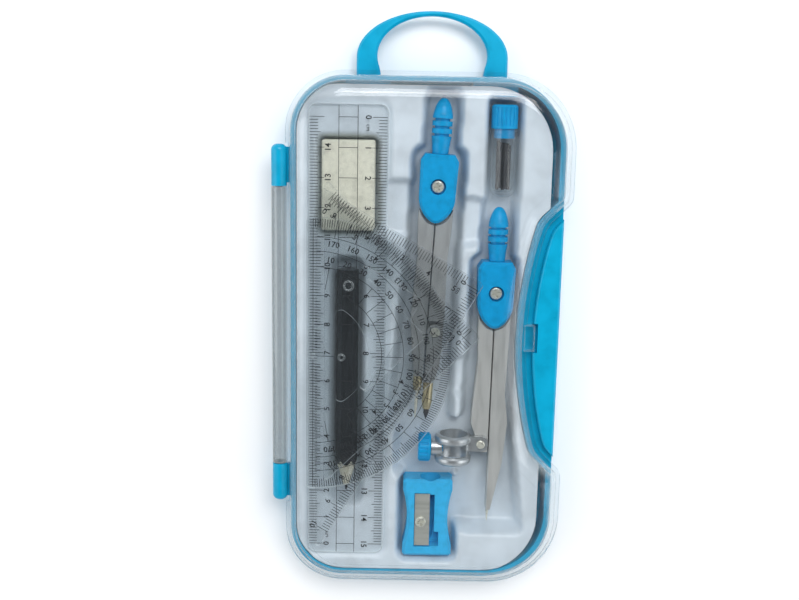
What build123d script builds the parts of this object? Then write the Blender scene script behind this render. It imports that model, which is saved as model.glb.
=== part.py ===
from build123d import *
import math
import os

# Drafting compass set in its case. Millimetres. The case lies on its back:
# X runs across it, Y towards the carrying handle, Z up through the clear lid.
# The origin is the centre of the base's underside.

# ---- case
CASE_WIDTH = 96.0
CASE_LENGTH = 178.0
LEFT_CORNER = 20.0
RIGHT_CORNER = 25.0
BASE_HEIGHT = 12.0
BASE_WALL = 1.8
BASE_INSET_LEFT = 1.5          # how far the base stands inside the lid's lip
BASE_INSET_RIGHT = 3.0
SEAM = 0.3                     # open line between the lid and the base
WAIST_X = 34.2                 # the lid's right edge at the middle of its waist
WAIST_RADIUS = 140.0
WAIST_HALF_LENGTH = 39.0
NOSE_RADIUS = 4.5              # where the waist runs out into the lobes
PANEL_GAP = 2.0                # groove between the lid's lip and the raised panel
PANEL_TOP = 15.0

# ---- lid
LID_WALL = 1.5
LIP_HEIGHT = 1.2
LIP_STEP = 1.4                 # the lip stands out this far from the wall
CROWN_RISE = 7.0               # height of the lid's rounded shoulder
CROWN_REACH = 7.0              # how far the shoulder leans in
CROWN_STEPS = 6
WINDOW_MARGIN = 0.4            # flat crest between the shoulder and the sunk window
WINDOW_DEPTH = 0.3
LID_LOW = BASE_HEIGHT + SEAM
LID_TOP = LID_LOW + LIP_HEIGHT + CROWN_RISE

# ---- case hinge
HINGE_X = -50.2
HINGE_Z = BASE_HEIGHT + SEAM / 2
KNUCKLE_RADIUS = 2.6
KNUCKLES = ((51.0, 64.8), (-59.4, -45.8))
STUB_RADIUS = 1.2
STUB_LENGTH = 5.0
RUNNING = 0.05                 # radial clearance of every turning fit

# ---- carrying handle
HANDLE_PIVOT_Y = 85.2
HANDLE_Z = 5.0
HANDLE_THICK = 3.6
HANDLE_HALF_WIDTH = 25.0
FOOT_WIDTH = 8.0
EYE_RADIUS = 2.2
SLOT_TOP = 9.6
PIN_RADIUS = 1.3
CREST_Y = 93.5                 # centre of the crescent's outer edge
HOLE_CENTRE_Y = 94.0           # centre of the finger hole
HOLE_HALF_SIZE = (18.2, 12.9)

# ---- insert tray
TRAY_TOP = 11.8
TRAY_PLATE = 1.2
TRAY_CLEARANCE = 0.3           # between the plate's edge and the base's wall
TRAY_SKIN = 0.7
TRAY_FLOOR = 2.6
RECESS_FLOOR = 10.2
PLATE_EASE = (-2.3, -0.8)      # the plate stands further in at its right and top
POCKET_LIFT = 0.6              # tools lie this far above a pocket's floor

# ---- flat instruments: height of the underside, thickness
RULER_SIZE = (26.6, 158.0, 1.5)
RULER_CENTRE = (-27.2, -0.7)
RULER_Z = 10.5
PROTRACTOR_CENTRE = (-38.6, -6.7)
PROTRACTOR_RADIUS = 47.7
PROTRACTOR_LEVEL = (13.5, 1.0)
SQUARE_45_CORNER = (18.3, 1.0)
SQUARE_45_LEG = 75.0
SQUARE_45_LEVEL = (14.8, 1.2)
SQUARE_60_CORNER = (18.8, 19.6)
SQUARE_60_LEGS = (65.0, 112.0)
SQUARE_60_LEVEL = (16.5, 1.2)

# ---- loose items
ERASER_BOX = (-36.3, -18.3, 35.9, 66.4)
ERASER_TOP = 9.9
PENCIL_X = -27.3
PENCIL_ENDS = (22.3, -57.8)
PENCIL_FLATS = 6.6
PENCIL_CORE = 1.0
LEAD_CASE_X = 24.6
LEAD_CASE_ENDS = (48.1, 78.8)
LEAD_CASE_RADIUS = 4.4
LEAD_CASE_WALL = 0.8
CAP_LENGTH = 8.0
SHARPENER_CENTRE = (1.9, -66.3)
SHARPENER_SIZE = (17.5, 28.8, 8.2)
SHARPENER_HOLE_X = 0.9         # from the body's centre line
BLADE_BOX = (-4.5, 0.8, -10.4, 9.0)
BLADE_SCREW = (-2.4, -1.3)
TOOL_LOW = TRAY_FLOOR + POCKET_LIFT

# ---- compasses
COMPASS_Z = 7.7
HEAD_HALF_THICK = 4.5
HEAD_HALF_WIDTH = 6.4
HEAD_TOP_Y = 10.8
HEAD_POINT_Y = -12.6
GRIP_TOP_Y = 29.2
GRIP_GROOVE_Y = 5.8            # first groove, above the grip's neck
GRIP_GROOVE_STEP = 2.5
LEG_HALF_THICK = 2.5
DISC_RADIUS = 4.6
SHAFT_RADIUS = 1.2
LEG_GAP = 0.2
SHOULDER_Y = -7.8              # top of a leg's shoulder beside the head
COMPASS_A_TURN = -3.0          # degrees about Z
COMPASS_B_TURN = -0.8
COMPASS_A = Location((2.8, 51.4, COMPASS_Z), (0, 0, COMPASS_A_TURN))
COMPASS_B = Location((23.5, 15.5, COMPASS_Z), (0, 0, COMPASS_B_TURN))
KNEE = (2.9, -50.0)
HOLDER_RIVET = (-2.9, -53.5)
RING_CENTRE = (-12.3, -55.9, 1.9)
RING_RADIUS = 6.5
RING_BORE = 4.9
RING_LENGTH = 10.4
KNOB_RADIUS = 5.1
KNOB_LENGTH = 4.4


# ------------------------------------------------------------------ helpers
def slab(plan, low, high):
    """A flat plan drawn out upwards from one height to another."""
    return extrude(Pos(0, 0, low) * plan, amount=high - low, dir=(0, 0, 1))


def rounded(plan, corners):
    """Round chosen corners of a plan, each given as x, y and radius."""
    for x, y, radius in corners:
        corner = plan.vertices().sort_by_distance((x, y, 0))[0]
        plan = fillet(corner, radius)
    return plan


def box_plan(x_low, x_high, y_low, y_high, radius):
    centre = Pos((x_low + x_high) / 2, (y_low + y_high) / 2)
    return centre * RectangleRounded(x_high - x_low, y_high - y_low, radius)


def block(x_low, x_high, y_low, y_high, z_low, z_high):
    size = (x_high - x_low, y_high - y_low, z_high - z_low)
    return Pos(x_low, y_low, z_low) * Box(*size, align=(Align.MIN, Align.MIN, Align.MIN))


def rod_x(x_low, x_high, y, z, radius):
    """A round bar along X."""
    place = Location((x_low, y, z), (0, 90, 0))
    return place * Cylinder(radius, x_high - x_low, align=(Align.CENTER, Align.CENTER, Align.MIN))


def rod_y(x, y_low, y_high, z, radius):
    """A round bar along Y."""
    place = Location((x, y_low, z), (-90, 0, 0))
    return place * Cylinder(radius, y_high - y_low, align=(Align.CENTER, Align.CENTER, Align.MIN))


def post(x, y, z_low, z_high, radius):
    """A round bar along Z."""
    return Pos(x, y, z_low) * Cylinder(
        radius, z_high - z_low, align=(Align.CENTER, Align.CENTER, Align.MIN))


def turned_y(x, z, profile):
    """A body turned about a line along Y, from radius and y pairs in order."""
    half = make_face(Polyline(*[(radius, y) for radius, y in profile], close=True))
    return Pos(x, 0, z) * revolve(half, Axis.Y)


# ------------------------------------------------------------------ case
def lid_plan(inset):
    """The lid's outline moved inwards: a rounded oblong with a waist on its right side."""
    left, right = inset - CASE_WIDTH / 2, CASE_WIDTH / 2 - inset
    end = CASE_LENGTH / 2 - inset
    centre_x = WAIST_X + WAIST_RADIUS
    lean = math.asin(WAIST_HALF_LENGTH / WAIST_RADIUS)
    bend_x = centre_x - WAIST_RADIUS * math.cos(lean)
    flare = math.radians(45)
    shift = inset / math.cos((flare - lean) / 2)
    heading = (flare + lean) / 2
    bend = (bend_x - shift * math.cos(heading), WAIST_HALF_LENGTH + shift * math.sin(heading))
    nose_y = WAIST_HALF_LENGTH + CASE_WIDTH / 2 - bend_x + inset * math.tan(flare / 2)
    edge = Polyline((bend[0], bend[1]), (right, nose_y), (right, end), (left, end),
                    (left, -end), (right, -end), (right, -nose_y), (bend[0], -bend[1]))
    waist = ThreePointArc((bend[0], -bend[1]), (WAIST_X - inset, 0), (bend[0], bend[1]))
    nose = max(NOSE_RADIUS - inset, 2.0)
    return rounded(make_face(edge + waist), [
        (left, end, LEFT_CORNER - inset), (left, -end, LEFT_CORNER - inset),
        (right, end, RIGHT_CORNER - inset), (right, -end, RIGHT_CORNER - inset),
        (right, nose_y, nose), (right, -nose_y, nose),
        (bend[0], bend[1], 10.0), (bend[0], -bend[1], 10.0)])


def base_plan(inset):
    """The base's outline moved inwards: a plain rounded oblong."""
    left = BASE_INSET_LEFT + inset - CASE_WIDTH / 2
    right = CASE_WIDTH / 2 - BASE_INSET_RIGHT - inset
    end = CASE_LENGTH / 2 - BASE_INSET_LEFT - inset
    plan = make_face(Polyline((left, -end), (right, -end), (right, end), (left, end), close=True))
    radius_left = LEFT_CORNER - BASE_INSET_LEFT - inset
    radius_right = RIGHT_CORNER - BASE_INSET_LEFT - inset
    return rounded(plan, [(left, end, radius_left), (left, -end, radius_left),
                          (right, end, radius_right), (right, -end, radius_right)])


def crown(inset, low, rise, reach):
    """The lid's domed block: a straight skirt and a rounded shoulder."""
    skirt = slab(lid_plan(inset), LID_LOW - SEAM, low)
    turns = [math.radians(90 * step / CROWN_STEPS) for step in range(CROWN_STEPS + 1)]
    sections = [Pos(0, 0, low + rise * math.sin(turn))
                * lid_plan(inset + reach * (1 - math.cos(turn))) for turn in turns]
    return skirt + loft([section.face() for section in sections])


def handle_feet():
    """The two feet of the handle, as their low and high X."""
    inner = HANDLE_HALF_WIDTH - FOOT_WIDTH
    return (-HANDLE_HALF_WIDTH, -inner), (inner, HANDLE_HALF_WIDTH)


def case_base():
    body = slab(base_plan(0), 0, BASE_HEIGHT)
    body = fillet(body.faces().sort_by(Axis.Z)[0].edges(), 3.0)
    cavity_plan = lid_plan(BASE_INSET_LEFT + BASE_WALL) & base_plan(BASE_WALL)
    side_plan = base_plan(BASE_WALL) - lid_plan(BASE_INSET_LEFT)
    panel = slab(base_plan(0) - lid_plan(-PANEL_GAP), BASE_HEIGHT, PANEL_TOP)
    panel = fillet(panel.faces().sort_by(Axis.Z)[-1].edges(), 0.8)
    body = body - slab(cavity_plan, BASE_WALL, BASE_HEIGHT) + panel
    body -= slab(side_plan, 0, BASE_HEIGHT - BASE_WALL)
    body -= block(WAIST_X + 1.2, WAIST_X + 3.6, -4.2, 6.0, BASE_HEIGHT, PANEL_TOP)
    for low, high in handle_feet():
        boss = block(low - 3.4, high + 3.4, HANDLE_PIVOT_Y - 3.8, HANDLE_PIVOT_Y + 1,
                     0, SLOT_TOP + 0.6)
        slot = block(low - 0.4, high + 0.4, HANDLE_PIVOT_Y - 2.8, HANDLE_PIVOT_Y + 6, 0, SLOT_TOP)
        bore = rod_x(low - 2.6, high + 2.6, HANDLE_PIVOT_Y, HANDLE_Z,
                     PIN_RADIUS + RUNNING)
        body = body + boss - slot - bore
    return body + hinge_knuckles()


def hinge_knuckles():
    """Base knuckles, each on a web from the side wall and bored for the lid's stub."""
    knuckles = []
    for low, high in KNUCKLES:
        barrel = rod_y(HINGE_X, low, high, HINGE_Z, KNUCKLE_RADIUS)
        outer_end = barrel.faces().sort_by(Axis.Y)[-1 if low > 0 else 0]
        barrel = fillet(outer_end.edges(), 2.0)
        web = block(HINGE_X, BASE_INSET_LEFT - CASE_WIDTH / 2 + 0.5, low + 1, high - 1,
                    HINGE_Z - KNUCKLE_RADIUS, BASE_HEIGHT - 0.4)
        mouth, away = (low, 1) if low > 0 else (high, -1)
        ends = sorted((mouth, mouth + away * (STUB_LENGTH + 0.6)))
        bore = rod_y(HINGE_X, ends[0], ends[1], HINGE_Z, STUB_RADIUS + RUNNING)
        knuckles.append(barrel + web - bore)
    return knuckles


def case_lid():
    wall_low = LID_LOW + LIP_HEIGHT
    lip = slab(lid_plan(0), LID_LOW, wall_low)
    outer = lip + crown(LIP_STEP, wall_low, CROWN_RISE, CROWN_REACH)
    outer -= slab(Rectangle(2 * CASE_WIDTH, 2 * CASE_LENGTH), LID_LOW - SEAM, LID_LOW)
    shell = outer - crown(LIP_STEP + LID_WALL, wall_low, CROWN_RISE - LID_WALL, CROWN_REACH)
    window = lid_plan(LIP_STEP + CROWN_REACH + WINDOW_MARGIN)
    shell -= slab(window, LID_TOP - WINDOW_DEPTH, LID_TOP + 1)
    edge = -CASE_WIDTH / 2
    for low, high in KNUCKLES:
        shell -= block(edge - 1, edge + 1.1, low - 0.5, high + 0.5, LID_LOW - 1, wall_low + 0.6)
    low, high = KNUCKLES[1][1] + SEAM, KNUCKLES[0][0] - SEAM
    barrel = rod_y(HINGE_X, low, high, HINGE_Z, KNUCKLE_RADIUS)
    web = block(HINGE_X, edge + 1, low, high, LID_LOW, wall_low)
    stubs = rod_y(HINGE_X, low - STUB_LENGTH, high + STUB_LENGTH, HINGE_Z, STUB_RADIUS)
    return shell + barrel + web + stubs + lid_latch(wall_low)


def lid_latch(wall_low):
    """Snap tab on the lid's waist, bridging the groove to the raised panel."""
    tab = block(WAIST_X - 1.0, WAIST_X + 2.6, -3.5, 5.3, LID_LOW, wall_low + 2.4)
    return fillet(tab.edges().filter_by(Axis.Y), 0.5)


def carrying_handle():
    """Moulded bail: a crescent with two feet, each with a pair of stub pins."""
    crest = Pos(0, CREST_Y) * Ellipse(HANDLE_HALF_WIDTH, 15.0)
    legs = Pos(0, (CREST_Y + HANDLE_PIVOT_Y) / 2) * Rectangle(
        2 * HANDLE_HALF_WIDTH, CREST_Y - HANDLE_PIVOT_Y)
    hole = Pos(0, HOLE_CENTRE_Y) * Ellipse(*HOLE_HALF_SIZE)
    hole_edge = HOLE_HALF_SIZE[0]
    inner = HANDLE_HALF_WIDTH - FOOT_WIDTH
    gap = make_face(Polyline((-inner, 70), (inner, 70), (inner, 88), (hole_edge, HOLE_CENTRE_Y),
                             (-hole_edge, HOLE_CENTRE_Y), (-inner, 88), close=True))
    half = HANDLE_THICK / 2
    above_pivot = Pos(0, HANDLE_PIVOT_Y + 50) * Rectangle(100, 100)
    plan = ((crest + legs) - hole - gap) & above_pivot
    bail = slab(plan, HANDLE_Z - half, HANDLE_Z + half)
    rims = bail.edges().filter_by(lambda edge: edge.center().Y > HANDLE_PIVOT_Y + 1)
    bail = chamfer(rims.filter_by(Axis.Z, reverse=True), 0.7)
    for low, high in handle_feet():
        bail += rod_x(low, high, HANDLE_PIVOT_Y, HANDLE_Z, EYE_RADIUS)
        bail += rod_x(low - 2.2, high + 2.2, HANDLE_PIVOT_Y, HANDLE_Z, PIN_RADIUS)
    return bail


# ------------------------------------------------------------------ tray
def compass_pocket(left, right, foot, grow):
    """A compass's pocket in its own frame: grip, head and flared leg room."""
    edge = [(-left[0], -12), (-left[1], foot), (right[2], foot), (right[1], -52), (right[0], -12)]
    legs = make_face(Polyline(*edge, close=True))
    grip = box_plan(-5.2 - grow, 5.2 + grow, 8, 32 + grow, 3)
    head = box_plan(-8.2 - grow, right[0] + grow, -14, 12.6 + grow, 3)
    return [offset(legs, amount=grow) if grow else legs, grip, head]


def pocket_plans(grow):
    """Plans of the deep pockets; grow adds the skin around them."""
    low_x, high_x, low_y, high_y = ERASER_BOX
    gap = 0.6 + grow
    plans = [box_plan(low_x - gap, high_x + gap, low_y - gap, high_y + gap, 2)]
    plans.append(box_plan(PENCIL_X - 4 - gap, PENCIL_X + 4 + gap,
                          PENCIL_ENDS[1] - 3 - grow, PENCIL_ENDS[0] + 3.6 + grow, 3))
    plans.append(box_plan(LEAD_CASE_X - 4.7 - grow, LEAD_CASE_X + 4.7 + grow,
                          LEAD_CASE_ENDS[0] - gap, LEAD_CASE_ENDS[1] + 1.8 + grow, 1.2))
    half_x, half_y = SHARPENER_SIZE[0] / 2 + gap, SHARPENER_SIZE[1] / 2 + gap
    x, y = SHARPENER_CENTRE
    plans.append(box_plan(x - half_x, x + half_x, y - half_y, y + half_y, 2.5))
    frame_a = Location((COMPASS_A.position.X, COMPASS_A.position.Y, 0), (0, 0, COMPASS_A_TURN))
    frame_b = Location((COMPASS_B.position.X, COMPASS_B.position.Y, 0), (0, 0, COMPASS_B_TURN))
    plans += [frame_a * plan for plan in compass_pocket((8, 10.2), (8.2, 9, 10.5), -84.5, grow)]
    plans += [frame_b * plan for plan in compass_pocket((8, 11), (6.7, 8, 12), -85.5, grow)]
    plans.append(box_plan(-9 - grow, 20, -50.5 - grow, -30 + grow, 3))
    return plans


def scoops(grow):
    """Shallow finger scoops across the pockets' edges."""
    return [Pos(-9.5, 44) * Circle(9 + grow), Pos(13.5, 40) * Circle(7.5 + grow),
            Pos(14, -14) * Circle(6.5 + grow)]


def insert_tray():
    """Formed sheet: a flat plate, a shallow bed for the ruler and deep pockets."""
    inside = base_plan(BASE_WALL + TRAY_CLEARANCE)
    plate_plan = lid_plan(BASE_INSET_LEFT + BASE_WALL + TRAY_CLEARANCE) & inside
    plate_plan = plate_plan & Pos(*PLATE_EASE) * inside
    plate_low = TRAY_TOP - TRAY_PLATE
    bed = (RULER_CENTRE[0] - RULER_SIZE[0] / 2 - 0.7, RULER_CENTRE[0] + RULER_SIZE[0] / 2 + 0.7,
           RULER_CENTRE[1] - RULER_SIZE[1] / 2 - 0.7, RULER_CENTRE[1] + RULER_SIZE[1] / 2 + 0.9)
    scoop_floor = TRAY_TOP - 4.0
    tray = slab(plate_plan, plate_low, TRAY_TOP)
    under = slab(box_plan(bed[0] - 0.7, bed[1] + 0.7, bed[2] - 0.7, bed[3] + 0.7, 4.5) & plate_plan,
                 RECESS_FLOOR - TRAY_SKIN, TRAY_TOP)
    tray += under
    for plan in pocket_plans(TRAY_SKIN):
        tray += slab(plan & plate_plan, TRAY_FLOOR - TRAY_SKIN, TRAY_TOP)
    for plan in scoops(TRAY_SKIN):
        tray += slab(plan & plate_plan, scoop_floor - TRAY_SKIN, TRAY_TOP)
    tray -= slab(box_plan(*bed, 4.0), RECESS_FLOOR, TRAY_TOP)
    for plan in pocket_plans(0):
        tray -= slab(plan, TRAY_FLOOR, TRAY_TOP)
    for plan in scoops(0):
        tray -= slab(plan, scoop_floor, TRAY_TOP)
    return tray


# ------------------------------------------------------------------ flat instruments
def ruler():
    width, length, thick = RULER_SIZE
    plate = slab(Pos(*RULER_CENTRE) * RectangleRounded(width, length, 3.0), RULER_Z, RULER_Z + thick)
    return chamfer(plate.faces().sort_by(Axis.Z)[-1].edges(), 0.4)


def protractor():
    """Half disc, its arc to the right, with a narrow strip behind the baseline."""
    low, thick = PROTRACTOR_LEVEL
    x, y = PROTRACTOR_CENTRE
    disc = Pos(x, y) * Circle(PROTRACTOR_RADIUS)
    kept = Pos(x - 2.2 + 50, y) * Rectangle(100, 100)
    plan = rounded(disc & kept, [(x - 2.2, y + 47.6, 1.5), (x - 2.2, y - 47.6, 1.5)])
    window = Pos(x, y) * Circle(19.0) & Pos(x + 7.5 + 25, y) * Rectangle(50, 60)
    window = rounded(window, [(x + 7.5, y + 17.5, 2), (x + 7.5, y - 17.5, 2)])
    plate = slab(plan - window, low, low + thick)
    return plate - post(x, y, low, low + thick, 0.8)


def set_square(corner, legs, level, border, tips):
    """Right triangle with its legs towards 150 or 135 and 240 or 225 degrees, and a window."""
    first, second = legs
    slope = 180 - math.degrees(math.atan2(first, second))
    ends = [(corner[0] + first * math.cos(math.radians(slope)),
             corner[1] + first * math.sin(math.radians(slope))),
            (corner[0] + second * math.cos(math.radians(slope + 90)),
             corner[1] + second * math.sin(math.radians(slope + 90)))]
    points = [corner, ends[0], ends[1]]
    hypotenuse = math.hypot(first, second)
    inradius = (first + second - hypotenuse) / 2
    weights = (hypotenuse, second, first)
    around = first + second + hypotenuse
    middle = [sum(w * p[axis] for w, p in zip(weights, points)) / around for axis in (0, 1)]
    shrink = (inradius - border) / inradius
    inner = [(middle[0] + shrink * (x - middle[0]), middle[1] + shrink * (y - middle[1]))
             for x, y in points]
    outline = make_face(Polyline(*points, close=True))
    window = make_face(Polyline(*inner, close=True))
    outline = rounded(outline, [(x, y, tips) for x, y in points])
    window = rounded(window, [(x, y, 1.5) for x, y in inner])
    return slab(outline - window, level[0], level[0] + level[1])


# ------------------------------------------------------------------ pencil, eraser, leads
def eraser():
    x_low, x_high, y_low, y_high = ERASER_BOX
    return fillet(block(x_low, x_high, y_low, y_high, TOOL_LOW, ERASER_TOP).edges(), 0.9)


def pencil_barrel():
    """Hexagonal stub sharpened to a cone, bored along its middle for the core."""
    top, tip = PENCIL_ENDS
    z = TOOL_LOW + PENCIL_FLATS / 2
    place = Location((PENCIL_X, top, z), (90, 0, 0))
    hexagon = RegularPolygon(PENCIL_FLATS / 2, 6, major_radius=False)
    prism = place * extrude(hexagon, amount=top - tip - 1.8)
    point = turned_y(PENCIL_X, z, [(0, tip), (PENCIL_CORE - 0.1, tip + 1.8), (4.2, tip + 13.2),
                                   (4.2, top - 0.5), (3.7, top), (0, top)])
    return (prism & point) - rod_y(PENCIL_X, tip - 1, top + 1, z, PENCIL_CORE)


def pencil_core():
    top, tip = PENCIL_ENDS
    z = TOOL_LOW + PENCIL_FLATS / 2
    return turned_y(PENCIL_X, z, [(0, tip), (0.15, tip), (PENCIL_CORE, tip + 3.2),
                                  (PENCIL_CORE, top), (0, top)])


def lead_tube():
    """Clear vial with a round bottom."""
    bottom, top = LEAD_CASE_ENDS[0], LEAD_CASE_ENDS[1] - CAP_LENGTH
    outer = rod_y(LEAD_CASE_X, bottom, top, COMPASS_Z, LEAD_CASE_RADIUS)
    outer = fillet(outer.faces().sort_by(Axis.Y)[0].edges(), 3.2)
    inner = rod_y(LEAD_CASE_X, bottom + 1.6, top, COMPASS_Z, LEAD_CASE_RADIUS - LEAD_CASE_WALL)
    inner = fillet(inner.faces().sort_by(Axis.Y)[0].edges(), 2.4)
    return outer - inner


def lead_cap():
    """Ribbed stopper with a plug that slides into the vial's mouth."""
    top = LEAD_CASE_ENDS[1]
    seat = top - CAP_LENGTH + 0.15
    cap = rod_y(LEAD_CASE_X, seat, top, COMPASS_Z, LEAD_CASE_RADIUS)
    cap = chamfer(cap.faces().sort_by(Axis.Y)[-1].edges(), 0.6)
    for n in range(20):
        turn = math.radians(360 / 20 * n)
        x = LEAD_CASE_X + LEAD_CASE_RADIUS * math.cos(turn)
        z = COMPASS_Z + LEAD_CASE_RADIUS * math.sin(turn)
        cap -= rod_y(x, seat + 0.8, top - 0.9, z, 0.28)
    return cap + rod_y(LEAD_CASE_X, seat - 3.2, seat, COMPASS_Z, LEAD_CASE_RADIUS - LEAD_CASE_WALL - 0.08)


def spare_leads():
    """Seven short leads lying loose side by side in the vial."""
    bottom = LEAD_CASE_ENDS[0]
    leads = [rod_y(LEAD_CASE_X, bottom + 2.4, bottom + 18.2, COMPASS_Z, 0.55)]
    for n in range(6):
        turn = math.radians(60 * n + 12)
        x = LEAD_CASE_X + 1.9 * math.cos(turn)
        z = COMPASS_Z + 1.9 * math.sin(turn)
        leads.append(rod_y(x, bottom + 2.6 + 0.3 * (n % 3), bottom + 17.4 + 0.5 * (n % 4), z, 0.55))
    return Compound(children=leads)


# ------------------------------------------------------------------ sharpener
def sharpener_body():
    width, length, thick = SHARPENER_SIZE
    half = length / 2
    right = Polyline((0, half), (width / 2 - 0.8, half), (width / 2, half - 0.8), (width / 2, half - 4))
    waist = ThreePointArc((width / 2, half - 4), (width / 2 - 1.5, 0), (width / 2, 4 - half))
    foot = Polyline((width / 2, 4 - half), (width / 2, 0.8 - half), (width / 2 - 0.8, -half), (0, -half))
    side = right + waist + foot
    body = slab(make_face(side + mirror(side, Plane.YZ)), 0, thick)
    body = chamfer(body.faces().sort_by(Axis.Z)[-1].edges(), 1.0)
    body -= turned_y(SHARPENER_HOLE_X, thick / 2,
                     [(0, half), (3.75, half), (3.6, half - 1.5), (0.7, -9), (0, -9)])
    left, right, bottom, top = BLADE_BOX
    body -= block(left - 0.2, right + 0.2, bottom - 0.4, top + 0.4, thick - 1.2, thick)
    slot = make_face(Polyline((right, top), (2.5, top), (2.5, -5.0), (4.1, -5.0),
                              (4.1, bottom), (right, bottom), close=True))
    body -= slab(slot, thick / 2, thick)
    body -= post(*BLADE_SCREW, thick - 3.6, thick, 0.95)
    return Pos(*SHARPENER_CENTRE, TOOL_LOW) * body


def sharpener_blade():
    thick = SHARPENER_SIZE[2]
    blade = block(*BLADE_BOX, thick - 1.15, thick - 0.45)
    edge = blade.edges().filter_by(Axis.Y).sort_by(Axis.X)[-1]
    blade = chamfer(edge, 0.35)
    blade -= post(*BLADE_SCREW, thick - 2, thick, 1.05)
    return Pos(*SHARPENER_CENTRE, TOOL_LOW) * blade


def slotted(head, x, y, top):
    """Cut a driver's cross into the top of a screw head."""
    for turn in (20, 110):
        cut = Rot(0, 0, turn) * Box(2.7, 0.65, 1.1)
        head -= Pos(x, y, top) * cut
    return head


def sharpener_screw():
    thick = SHARPENER_SIZE[2]
    x, y = BLADE_SCREW
    screw = post(x, y, thick - 0.4, thick + 0.5, 1.9)
    screw = fillet(screw.faces().sort_by(Axis.Z)[-1].edges(), 0.35)
    screw += post(x, y, thick - 3.5, thick - 0.4, 0.9)
    screw = slotted(screw, x, y, thick + 0.5)
    return Pos(*SHARPENER_CENTRE, TOOL_LOW) * screw


# ------------------------------------------------------------------ compass, in its own frame
# The hinge screw's axis is the frame's Z axis, and the grip points along +Y.
def head_shell():
    """Front half of a compass head; the back half is its mirror image."""
    side = Polyline((0, HEAD_TOP_Y), (5.0, HEAD_TOP_Y), (HEAD_HALF_WIDTH, 8.6), (6.1, -3))
    side += ThreePointArc((6.1, -3), (4.3, -9.2), (0, HEAD_POINT_Y))
    plan = rounded(make_face(side + mirror(side, Plane.YZ)), [(0, HEAD_POINT_Y, 3.0)])
    shell = slab(plan, 0, HEAD_HALF_THICK)
    shell = chamfer(shell.faces().sort_by(Axis.Z)[-1].edges(), 0.9)
    shell -= block(-9, 9, -15, DISC_RADIUS + 0.6, 0, 1.6)
    shell -= rod_y(0, 4, 12, 0, 2.0)
    shell -= post(0, 0, 0, HEAD_HALF_THICK, SHAFT_RADIUS + 0.05)
    return shell - post(0, 0, HEAD_HALF_THICK - 2.2, HEAD_HALF_THICK, 2.65)


def head_back():
    return mirror(head_shell(), Plane.XY)


def compass_grip():
    """Turned handle with three grooves, a rounded tip and a shank in the head."""
    shank, neck = HEAD_TOP_Y - 4.4, HEAD_TOP_Y + 0.1
    profile = [(0, shank), (1.95, shank), (1.95, neck), (2.75, neck), (3.0, neck + 3.0)]
    for n in range(3):
        y = neck + GRIP_GROOVE_Y + GRIP_GROOVE_STEP * n
        profile += [(3.4, y), (2.5, y + 0.05), (2.5, y + 0.85), (3.4, y + 0.9)]
    for radius, drop in ((3.3, 5.4), (3.0, 4.0), (2.6, 2.6), (2.0, 1.3), (1.3, 0.4), (0.7, 0), (0, 0)):
        profile.append((radius, GRIP_TOP_Y - drop))
    return turned_y(0, 0, profile)


def hinge_screw():
    low = HEAD_HALF_THICK - 2.2
    screw = post(0, 0, low, low + 1.4, 2.1)
    screw = fillet(screw.faces().sort_by(Axis.Z)[-1].edges(), 0.5)
    return slotted(screw, 0, 0, low + 1.4) + post(0, 0, -3.9, low, SHAFT_RADIUS)


def hinge_nut():
    low = -HEAD_HALF_THICK + 0.6
    nut = slab(RegularPolygon(2.0, 6, major_radius=False), low, low + 1.6)
    return nut - post(0, 0, low, low + 1.6, SHAFT_RADIUS)


def leg_root(side):
    """Hinge end of a leg: a half-thickness disc on the screw and a tongue to the leg."""
    low, high = sorted((0.1 * -side, 1.4 * -side))
    disc = post(0, 0, low, high, DISC_RADIUS)
    edges = sorted((side * LEG_GAP, side * 4.6))
    disc += block(edges[0], edges[1], -6, 0, low, high)
    tongue = block(edges[0], edges[1], -13.2, -DISC_RADIUS - 0.5, -1.4, 1.4)
    return disc + tongue - post(0, 0, -2, 2, SHAFT_RADIUS + RUNNING)


def leg_blade(side, outer, end):
    """Leg below the head. Its shoulder follows the head's tip, its inner edge the middle line
    and its outer edge the given points."""
    points = [(LEG_GAP, -13.2), (2.6, -12.4), (3.8, -11.3), (4.7, -9.9), (5.2, -8.6)]
    points += [(outer[0][0], SHOULDER_Y)] + list(outer) + [(LEG_GAP, end)]
    face = make_face(Polyline(*[(side * x, y) for x, y in points], close=True))
    blade = slab(face, -LEG_HALF_THICK, LEG_HALF_THICK)
    rims = blade.faces().sort_by(Axis.Z)[-1].edges()
    return chamfer(rims, 0.15)


def needle(side, x, top, tip, radius):
    profile = [(0, tip), (0.12, tip), (radius, tip + 4.0), (radius, top), (0, top)]
    return turned_y(side * x, 0, profile)


def a_needle_leg():
    outer = [(5.8, -13.2), (5.1, -24), (5.9, -46), (4.6, -58), (3.2, -66)]
    return leg_root(-1) + leg_blade(-1, outer, -66.0)


def a_knee_leg():
    """Upper part of the drawing leg; its end is thinned where the lower part laps it."""
    outer = [(5.8, -13.2), (5.1, -24), (5.7, -44), (5.7, KNEE[1])]
    leg = leg_root(1) + leg_blade(1, outer, KNEE[1])
    leg -= block(-1, 8, -56, KNEE[1] + 3.9, -0.15, 3)
    leg += post(*KNEE, -LEG_HALF_THICK, -0.15, 2.7)
    return leg - post(*KNEE, -3, 3, 1.0)


def a_lower_leg():
    """Jointed lower part of the drawing leg, tapering to the lead sleeve."""
    tab = post(*KNEE, 0.15, LEG_HALF_THICK, 2.8)
    neck = block(LEG_GAP + 0.2, 5.6, -57, KNEE[1], 0.15, LEG_HALF_THICK)
    face = make_face(Polyline((0.4, -54.3), (5.6, -54.3), (5.2, -62), (3.6, -68), (0.4, -68), close=True))
    leg = tab + neck + slab(face, -LEG_HALF_THICK, LEG_HALF_THICK)
    return leg - post(*KNEE, 0, 3, 1.0 + RUNNING)


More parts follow.
